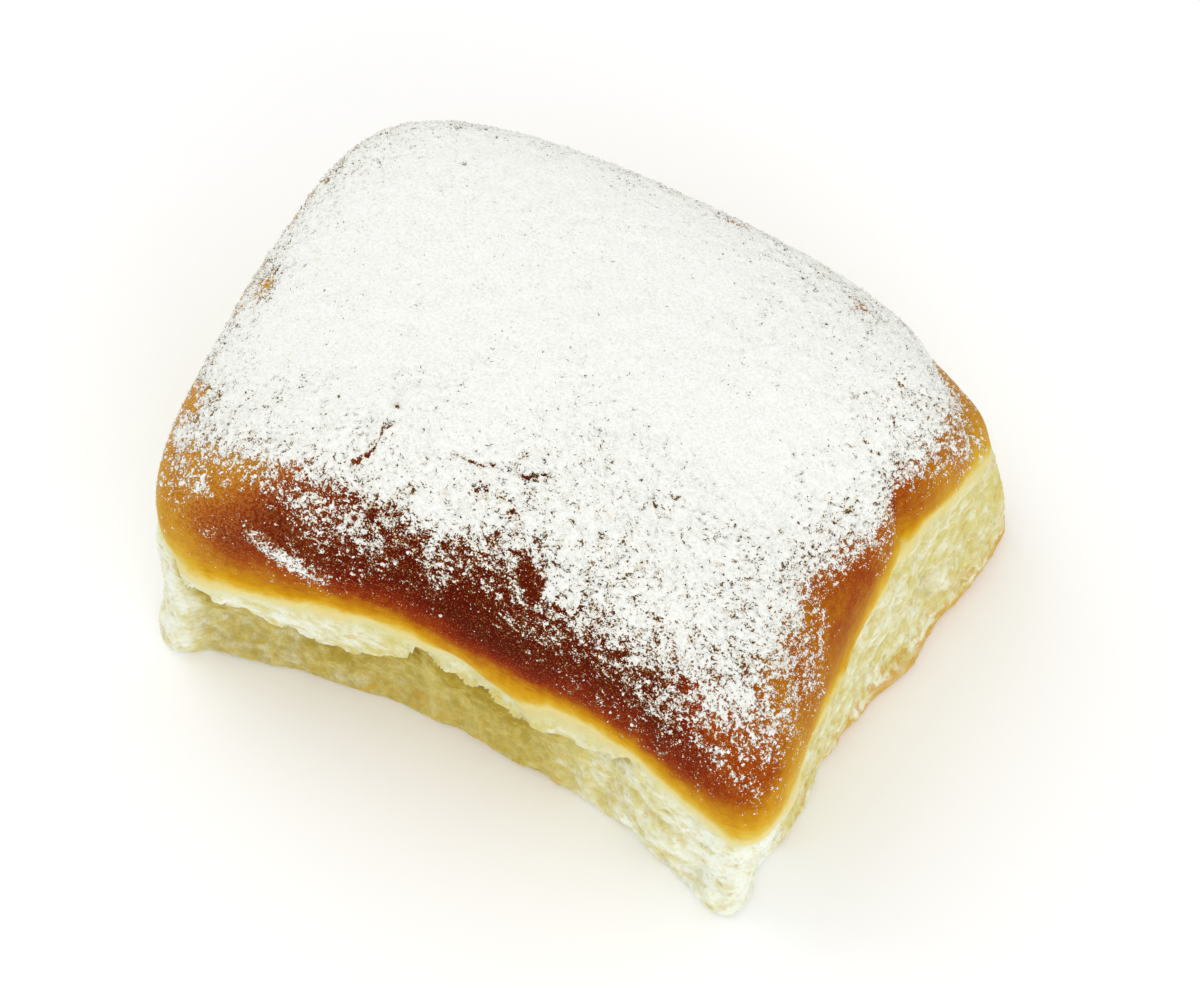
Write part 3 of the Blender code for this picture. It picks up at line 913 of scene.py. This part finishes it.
# %% Helpers for node materials
def start_material(name, roughness, specular):
    """A new material: its node tree, its shader, and the place in millimetres."""
    material = bpy.data.materials.new(name)
    material.use_nodes = True
    tree = material.node_tree
    shader = tree.nodes["Principled BSDF"]
    shader.inputs["Roughness"].default_value = roughness
    shader.inputs["Specular IOR Level"].default_value = specular
    coordinates = tree.nodes.new("ShaderNodeTexCoord")
    to_millimetres = tree.nodes.new("ShaderNodeMapping")
    to_millimetres.inputs["Scale"].default_value = (1000, 1000, 1000)
    tree.links.new(coordinates.outputs["Object"], to_millimetres.inputs["Vector"])
    return material, tree, shader, to_millimetres.outputs["Vector"]


def feed(tree, socket, value):
    """Link a socket to another one, or give it a plain value."""
    if isinstance(value, bpy.types.NodeSocket):
        tree.links.new(value, socket)
    else:
        socket.default_value = value


def cloud(tree, where, size, detail=3.0, stretch=None, roughness=0.55):
    """Noise with features of one size in millimetres, 0.5 on average."""
    if stretch:
        mapping = tree.nodes.new("ShaderNodeMapping")
        mapping.inputs["Scale"].default_value = [1 / share for share in stretch]
        tree.links.new(where, mapping.inputs["Vector"])
        where = mapping.outputs["Vector"]
    texture = tree.nodes.new("ShaderNodeTexNoise")
    texture.inputs["Scale"].default_value = 1 / size
    texture.inputs["Detail"].default_value = detail
    texture.inputs["Roughness"].default_value = roughness
    tree.links.new(where, texture.inputs["Vector"])
    return texture.outputs["Fac"]


def cells(tree, where, size):
    """Distance to the nearest of many scattered centres, for pits and pores."""
    texture = tree.nodes.new("ShaderNodeTexVoronoi")
    texture.inputs["Scale"].default_value = 1 / size
    tree.links.new(where, texture.inputs["Vector"])
    return texture.outputs["Distance"]


def stored(tree, name):
    """A value that was stored for each point."""
    attribute = tree.nodes.new("ShaderNodeAttribute")
    attribute.attribute_name = name
    return attribute.outputs["Fac"]


def compute(tree, operation, first, second=0.0, third=0.0):
    """One sum of a Math node."""
    node = tree.nodes.new("ShaderNodeMath")
    node.operation = operation
    for socket, value in zip(node.inputs, (first, second, third)):
        feed(tree, socket, value)
    return node.outputs[0]


def between(tree, value, low, high, low_result=0.0, high_result=1.0):
    """Ease from one result to another while a value goes from low to high."""
    node = tree.nodes.new("ShaderNodeMapRange")
    node.interpolation_type = "SMOOTHSTEP"
    feed(tree, node.inputs["Value"], value)
    ends = {"From Min": low, "From Max": high, "To Min": low_result, "To Max": high_result}
    for socket, number in ends.items():
        node.inputs[socket].default_value = number
    return node.outputs["Result"]


def mix_colours(tree, share, first, second):
    """Mix two colours."""
    node = tree.nodes.new("ShaderNodeMix")
    node.data_type = "RGBA"
    feed(tree, node.inputs[0], share)
    feed(tree, node.inputs[6], first)
    feed(tree, node.inputs[7], second)
    return node.outputs[2]


def colour_ramp(tree, value, stops):
    """Turn a value into a colour by a row of stops."""
    node = tree.nodes.new("ShaderNodeValToRGB")
    feed(tree, node.inputs["Fac"], value)
    elements = node.color_ramp.elements
    while len(elements) < len(stops):
        elements.new(0.5)
    for element, (place, colour) in zip(elements, stops):
        element.position = place
        element.color = colour
    return node.outputs["Color"]


def raise_relief(tree, shader, height, distance):
    """Bump from a height of 0 to 1, with a full depth in millimetres."""
    node = tree.nodes.new("ShaderNodeBump")
    node.inputs["Strength"].default_value = 1.0
    node.inputs["Distance"].default_value = distance * MM
    feed(tree, node.inputs["Height"], height)
    tree.links.new(node.outputs["Normal"], shader.inputs["Normal"])


print("node helpers are ready")

# %% [markdown]
# ### Baked crust
# Egg wash browns in clouds, not in even bands, so the stored browning is shifted by noise before a
# row of colours turns it from cream through gold and amber into mahogany. Fine sugar dust clings
# to all of it, and gets denser towards the sugar cover.

# %% Crust material
RIM_TINT = paint(222, 206, 140)
CRUST_COLOURS = (
    (0.00, paint(214, 196, 112)),
    (0.10, paint(212, 180, 70)),
    (0.22, paint(206, 158, 32)),
    (0.34, paint(191, 134, 12)),
    (0.46, paint(172, 106, 4)),
    (0.58, paint(148, 62, 2)),
    (0.70, paint(124, 32, 2)),
    (0.84, paint(98, 16, 2)),
    (1.00, paint(80, 10, 2)),
)
FLECK_COLOUR = paint(170, 104, 20)
# Painted shade between the grains of a closed sugar cover.
GAP_SHADE_COLOUR = paint(84, 62, 20)
DUST_COLOUR = paint(208, 162, 88)
THIN_SUGAR = paint(238, 231, 214)


def crust_under_sugar(tree, place):
    """Colour of the crust, from its stored browning, darkened by painted shade in the gaps of a closed
    cover.
    """
    broad = compute(tree, "SUBTRACT", cloud(tree, place, 6.0), 0.5)
    fine = compute(tree, "SUBTRACT", cloud(tree, place, 1.1, detail=4), 0.5)
    streaks = compute(tree, "SUBTRACT", cloud(tree, place, 0.32, detail=3, stretch=(5, 5, 1)), 0.5)
    edge_distance = stored(tree, "skin_distance")
    depth = between(tree, edge_distance, 0.0, 3.0, 0.3, 1.0)
    clouds = compute(tree, "MULTIPLY_ADD", fine, 0.22, compute(tree, "MULTIPLY", broad, 0.28))
    clouds = compute(tree, "MULTIPLY", clouds, depth)
    near_edge = between(tree, edge_distance, 2.0, 7.0, 0.24, 0.06)
    clouds = compute(tree, "MULTIPLY_ADD", streaks, near_edge, clouds)
    browned = compute(tree, "ADD", clouds, stored(tree, "browning"))
    colour = colour_ramp(tree, browned, CRUST_COLOURS)
    flecks = between(tree, cloud(tree, place, 0.28, detail=2), 0.54, 0.78, 0, 0.16)
    colour = mix_colours(tree, flecks, colour, FLECK_COLOUR)
    edge_place = compute(tree, "MULTIPLY_ADD", fine, 1.6, edge_distance)
    colour = mix_colours(tree, between(tree, edge_place, -0.3, 1.1, 0.9, 0), colour, RIM_TINT)
    dust_flecks = between(tree, cloud(tree, place, 0.2, detail=1), 0.60, 0.70, 0, 0.35)
    dulled = between(tree, cloud(tree, place, 0.3, detail=4), 0.44, 0.60, 0.1, 1.0)
    dulled = compute(tree, "MULTIPLY", dulled, stored(tree, "dusting"))
    dust_flecks = compute(tree, "MAXIMUM", dulled, dust_flecks)
    dust_flecks = compute(tree, "MULTIPLY", dust_flecks, between(tree, edge_distance, 1.0, 4.0))
    colour = mix_colours(tree, dust_flecks, colour, DUST_COLOUR)
    # Painted shade: where sugar closes over the crust, its colour is darkened towards the gap shade, which
    # shows in the gaps and pinholes.
    gap_shade = between(tree, stored(tree, "sugar_level"), 0.2, 1.3, 0, 0.8)
    return mix_colours(tree, gap_shade, colour, GAP_SHADE_COLOUR)


def fine_sugar_level(tree, place):
    """The stored sugar level with the finest grain, which is smaller than the mesh can carry."""
    grain = compute(tree, "SUBTRACT", cloud(tree, place, 0.26, detail=2, roughness=0.6), 0.5)
    return compute(tree, "MULTIPLY_ADD", grain, 7.0, stored(tree, "sugar_total"))


baked_crust, tree, shader, place = start_material("baked_crust", 0.46, 0.02)
crust_colour = crust_under_sugar(tree, place)
fine_level = fine_sugar_level(tree, place)
dust = between(tree, fine_level, -0.7, 0.1, 0, 0.25)
dust = compute(tree, "MULTIPLY", dust, between(tree, stored(tree, "skin_distance"), 1.5, 5.0))
crust_colour = mix_colours(tree, dust, crust_colour, DUST_COLOUR)
powdered = between(tree, fine_level, 0.15, 0.35, 0, 0.95)
crust_colour = mix_colours(tree, powdered, crust_colour, THIN_SUGAR)
tree.links.new(crust_colour, shader.inputs["Base Color"])
feed(tree, shader.inputs["Roughness"], between(tree, dust, 0, 0.5, 0.46, 0.9))
wrinkles = cloud(tree, place, 0.45, detail=3, stretch=(6, 6, 1))
skin_relief = compute(tree, "MULTIPLY_ADD", wrinkles, 0.8, cloud(tree, place, 0.7, detail=4))
skin_relief = compute(tree, "MULTIPLY_ADD", powdered, 0.8, skin_relief)
raise_relief(tree, shader, skin_relief, 0.12)
print("crust colours:", len(CRUST_COLOURS))

# %% [markdown]
# ### Torn crumb
# The crumb is cream, with paler tufts and yellower strands, where the tear reached the buttery
# curd-enriched dough. In pits and in the groove under the front lips, shade is painted into the
# colour: the crumb turns less pale, yellower and darker there. It lets a little light through, so the
# shader scatters light below the surface. Golden patches show near the base, where the tray browned it.

# %% Crumb material
RIM_LINE = paint(213, 211, 160)
CRUMB_STRAW = paint(208, 197, 122)
CRUMB_PALE = paint(232, 236, 222)
CRUMB_YELLOW = paint(206, 178, 78)
# Colour of the painted shade in pits and under the front lips.
CRUMB_OLIVE_SHADE = paint(158, 134, 42)
CRUMB_GOLD = paint(204, 154, 54)
CRUMB_TUFT = paint(212, 212, 166)

torn_crumb, tree, shader, place = start_material("torn_crumb", 0.92, 0.05)
tufts = cloud(tree, place, 2.6, detail=4, roughness=0.62)
strands = cloud(tree, place, 1.1, detail=5, stretch=(1.3, 1.3, 1.0), roughness=0.65)
fluff = cloud(tree, place, 0.5, detail=4, roughness=0.65)
# Painted shade in pits and under the front lips: there the crumb is made less pale, yellower and less
# tufted, and darkened towards a dull yellow-brown.
hollow_shade = stored(tree, "hollow_shade")
# How pale the crumb is round the bun; on the front lips partly their smooth skin, partly painted light
# where they face up and out.
paleness_and_lip_light = stored(tree, "paleness_and_lip_light")
pale = compute(tree, "MULTIPLY_ADD", compute(tree, "SUBTRACT", tufts, 0.5), 1.5, paleness_and_lip_light)
pale = compute(tree, "MULTIPLY_ADD", hollow_shade, -0.6, pale)
crumb_colour = mix_colours(tree, between(tree, pale, 0.15, 0.85), CRUMB_STRAW, CRUMB_PALE)
yellow = compute(tree, "MULTIPLY_ADD", hollow_shade, 0.12, strands)
yellow = compute(tree, "MULTIPLY_ADD", paleness_and_lip_light, -0.10, yellow)
crumb_colour = mix_colours(tree, between(tree, yellow, 0.42, 0.64, 0, 0.65), crumb_colour, CRUMB_YELLOW)
tufted = compute(tree, "MULTIPLY_ADD", fluff, 0.8, compute(tree, "MULTIPLY", strands, 0.4))
tufted = compute(tree, "MULTIPLY_ADD", hollow_shade, -0.04, tufted)
crumb_colour = mix_colours(tree, between(tree, tufted, 0.56, 0.80, 0, 0.5), crumb_colour, CRUMB_TUFT)
mottled = between(tree, cloud(tree, place, 1.5, detail=5, roughness=0.65), 0.34, 0.64, 0.5, 1.0)
# Mottled painted shade, strongest where the stored shade is high.
olive_shade = compute(tree, "MULTIPLY", mottled, hollow_shade)
crumb_colour = mix_colours(tree, between(tree, olive_shade, 0.0, 0.8, 0, 0.9), crumb_colour, CRUMB_OLIVE_SHADE)
browned = stored(tree, "base_browning")
spots = between(tree, cloud(tree, place, 1.3, detail=5, stretch=(1.4, 1.4, 1)), 0.48, 0.60)
gold = compute(tree, "MULTIPLY", compute(tree, "ADD", spots, between(tree, browned, 0.7, 1.0)), browned)
crumb_colour = mix_colours(tree, between(tree, gold, 0.0, 1.0, 0, 0.8), crumb_colour, CRUMB_GOLD)
skin_place = compute(tree, "SUBTRACT", stored(tree, "skin_distance"), 0.8)
skin_place = compute(tree, "MULTIPLY_ADD", tufts, 1.6, skin_place)
crumb_colour = mix_colours(tree, between(tree, skin_place, -2.6, -1.2, 0, 0.5), crumb_colour, RIM_LINE)
crumb_colour = mix_colours(tree, between(tree, skin_place, -1.8, 0.0), crumb_colour, RIM_TINT)
tree.links.new(crumb_colour, shader.inputs["Base Color"])
shader.inputs["Subsurface Weight"].default_value = 0.4
shader.inputs["Subsurface Radius"].default_value = (1.3, 1.0, 0.5)
shader.inputs["Subsurface Scale"].default_value = 1.0 * MM
raise_relief(tree, shader, compute(tree, "MULTIPLY_ADD", strands, 0.7, fluff), 0.17)
print("crumb is ready")

# %% [markdown]
# ### Baked underside
# The underside stood on the tray. It is matt, golden brown in broad patches, and pitted where steam
# bubbles sat against the metal.

# %% Underside material
UNDERSIDE_GOLD = paint(210, 160, 78)
UNDERSIDE_BROWN = paint(174, 110, 42)
PIT_COLOUR = paint(222, 186, 120)

baked_underside, tree, shader, place = start_material("baked_underside", 0.62, 0.25)
patches = cloud(tree, place, 9.0, detail=5)
under_colour = mix_colours(tree, between(tree, patches, 0.35, 0.65), UNDERSIDE_GOLD, UNDERSIDE_BROWN)
pits = between(tree, cells(tree, place, 2.6), 0.10, 0.32, 1, 0)
under_colour = mix_colours(tree, compute(tree, "MULTIPLY", pits, 0.6), under_colour, PIT_COLOUR)
tree.links.new(under_colour, shader.inputs["Base Color"])
pitted = compute(tree, "SUBTRACT", cloud(tree, place, 0.8, detail=4), pits)
raise_relief(tree, shader, pitted, 0.25)
print("underside is ready")

# %% [markdown]
# ### Icing sugar
# Icing sugar is a matt white powder. The material has a powdery bump, paints a faint grey shade
# into the low places of that bump, and a soft grey shade in broad drifts. Where the level is low
# the sugar thins out, and pinholes in it show the crust below, darkened by painted shade where the
# cover is closed.

# %% Sugar material
SUGAR_WHITE = paint(245, 245, 241)
# Painted shade in the low places of the powder bump.
SUGAR_HOLLOW_SHADE = paint(234, 236, 228)
# Soft painted shade in broad drifts, as on lumps in the powder.
SUGAR_DRIFT_SHADE = paint(236, 237, 230)

icing_sugar, tree, shader, place = start_material("icing_sugar", 0.95, 0.05)
powder = cloud(tree, place, 0.40, detail=4)
fine_powder = cloud(tree, place, 0.22, detail=2)
drift = cloud(tree, place, 3.5, detail=3)
# The powder noise also raises the bump, so its low places get the painted grey shade.
sugar_colour = mix_colours(tree, between(tree, powder, 0.36, 0.55), SUGAR_HOLLOW_SHADE, SUGAR_WHITE)
sugar_colour = mix_colours(tree, between(tree, drift, 0.5, 0.8, 0, 0.3), sugar_colour, SUGAR_DRIFT_SHADE)
fine_level = fine_sugar_level(tree, place)
sugar_colour = mix_colours(tree, between(tree, fine_level, 0.1, 0.9, 0.75, 0), sugar_colour, THIN_SUGAR)
holes = between(tree, fine_level, -0.15, 0.15, 1, 0)
# Pinholes show the crust below, which in a closed cover is mostly painted shade between the grains.
pinholes = between(tree, cloud(tree, place, 0.42, detail=3), 0.66, 0.71, 0, 0.7)
pinholes = compute(tree, "MULTIPLY", pinholes, between(tree, drift, 0.46, 0.62))
holes = compute(tree, "MAXIMUM", holes, pinholes)
sugar_colour = mix_colours(tree, holes, sugar_colour, crust_under_sugar(tree, place))
tree.links.new(sugar_colour, shader.inputs["Base Color"])
powder_relief = compute(tree, "ADD", powder, fine_powder)
powder_relief = compute(tree, "MULTIPLY_ADD", cloud(tree, place, 1.3, detail=2), 2.0, powder_relief)
raise_relief(tree, shader, compute(tree, "MULTIPLY_ADD", holes, -1.0, powder_relief), 0.12)
print("sugar is ready")

# %% [markdown]
# ## Put the finishes on
# Faces above the skin's edge get the crust, faces on the tray get the underside, and the rest is
# crumb. Crust and crumb have the same cream tint at that edge, so no seam shows there.

# %% Tones of the wall
# Direction: how pale the crumb is, and how much the tray browned it near the base.
WALL_TONES = {
    -180: (0.45, 0.50),
    -155: (0.55, 0.30),
    -138: (0.72, 0.10),
    -127: (0.70, 0.10),
    -114: (0.60, 0.45),
    -98: (0.35, 0.70),
    -80: (0.40, 0.60),
    -64: (0.45, 0.35),
    -56: (0.55, 0.20),
    -50: (0.75, 0.10),
    -42: (1.00, 0.05),
    -34: (0.40, 0.60),
    -17: (0.45, 0.90),
    0: (0.50, 0.95),
    20: (0.45, 0.95),
    40: (0.35, 1.00),
    60: (0.30, 0.70),
    90: (0.40, 0.50),
    140: (0.42, 0.55),
    180: (0.45, 0.50),
}
BROWNED_HEIGHT = (9.0, 0.8)

base_share = 1 - ease(BROWNED_HEIGHT[1], BROWNED_HEIGHT[0], body_points[:, 2])
keep_value(bun_body.data, "base_browning", base_share * round_table(body_points, WALL_TONES, 1))
print("directions in the wall table:", len(WALL_TONES))

# %% Painted shade in the hollows of the crumb
PIT_SHADE = {"depth": 0.6, "share": 0.35}
RECESS_SHADE = {"starts": (-0.2, 0.8), "fades": (2.0, 10.0), "lost": 0.5}
LIP_PALENESS_AND_LIGHT = 0.4

# Painted shade: pits of the wall relief and the groove under the front lips are stored for the crumb's
# colour, but not on the lips themselves.
hollow_shade = np.zeros(len(body_points))
hollow_shade[on_wall] = np.clip(-lift / PIT_SHADE["depth"], 0, 1) * PIT_SHADE["share"]
# Painted shade under the front lips, darkest just below a lip's edge and fading to half further down.
shade_under_lip = in_front * lip_shade_share * ease(*RECESS_SHADE["starts"], below_lip)
shade_under_lip *= 1 - RECESS_SHADE["lost"] * ease(*RECESS_SHADE["fades"], below_lip)
hollow_shade[on_wall] = np.maximum(hollow_shade[on_wall], shade_under_lip)
hollow_shade[on_wall] *= 1 - on_lip
keep_value(bun_body.data, "hollow_shade", hollow_shade)
# How pale the crumb is round the bun, raised on the front lips: partly their smooth, stretched skin and
# partly painted light where they face up and out.
paleness_and_lip_light = round_table(body_points, WALL_TONES, 0)
paleness_and_lip_light[on_wall] = np.maximum(paleness_and_lip_light[on_wall], LIP_PALENESS_AND_LIGHT * on_lip)
keep_value(bun_body.data, "paleness_and_lip_light", paleness_and_lip_light)
print("points in a hollow:", int((hollow_shade > 0.1).sum()))

# %% Slots of the body
for finish in (baked_crust, torn_crumb, baked_underside):
    bun_body.data.materials.append(finish)
crust_side = face_means(bun_body.data, body_skin) > 0
finish_numbers = np.where(crust_side, 0, 1).astype(np.int32)
for face in bun_body.data.polygons:
    if face.normal.z < -0.9 and face.center.z < 0.1 * MM:
        finish_numbers[face.index] = 2
bun_body.data.polygons.foreach_set("material_index", finish_numbers)
bun_body.data.shade_smooth()
for piece in (sugar_cover, sugar_crumbs, sugar_specks):
    piece.data.materials.clear()
    piece.data.materials.append(icing_sugar)
sugar_cover.data.shade_smooth()
print("faces by finish:", np.bincount(finish_numbers).tolist())

# %% [markdown]
# ## Fit and hand over
# The relief may stand a fraction of a millimetre outside the solid's box, so all pieces are eased
# back into it together. Then each piece is tied to the bun's one body, the plain solid is replaced
# by the dressed one, and both boxes are written down.

# %% Ease the pieces into the box
pieces = (bun_body, sugar_cover, sugar_crumbs, sugar_specks)


def box_of(some_pieces):
    """Lowest and highest corner of several pieces together, in millimetres."""
    lows = [read_points(piece.data).min(axis=0) for piece in some_pieces]
    highs = [read_points(piece.data).max(axis=0) for piece in some_pieces]
    return np.min(lows, axis=0), np.max(highs, axis=0)


low, high = box_of(pieces)
cad_low, cad_high = (np.array(corner[:]) / MM for corner in CAD_BOX)
new_low, new_high = np.maximum(low, cad_low), np.minimum(high, cad_high)
for piece in pieces:
    points = read_points(piece.data)
    write_points(piece.data, new_low + (points - low) * (new_high - new_low) / (high - low))
print("eased by, mm:", np.round(new_low - low, 2).tolist(), np.round(high - new_high, 2).tolist())

# %% Tie the pieces to the bun
for piece in pieces:
    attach(piece, "root")
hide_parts("bun")

visual_low, visual_high = box_of(pieces)
print("visual box, mm:", np.round(visual_high - visual_low, 2).tolist())
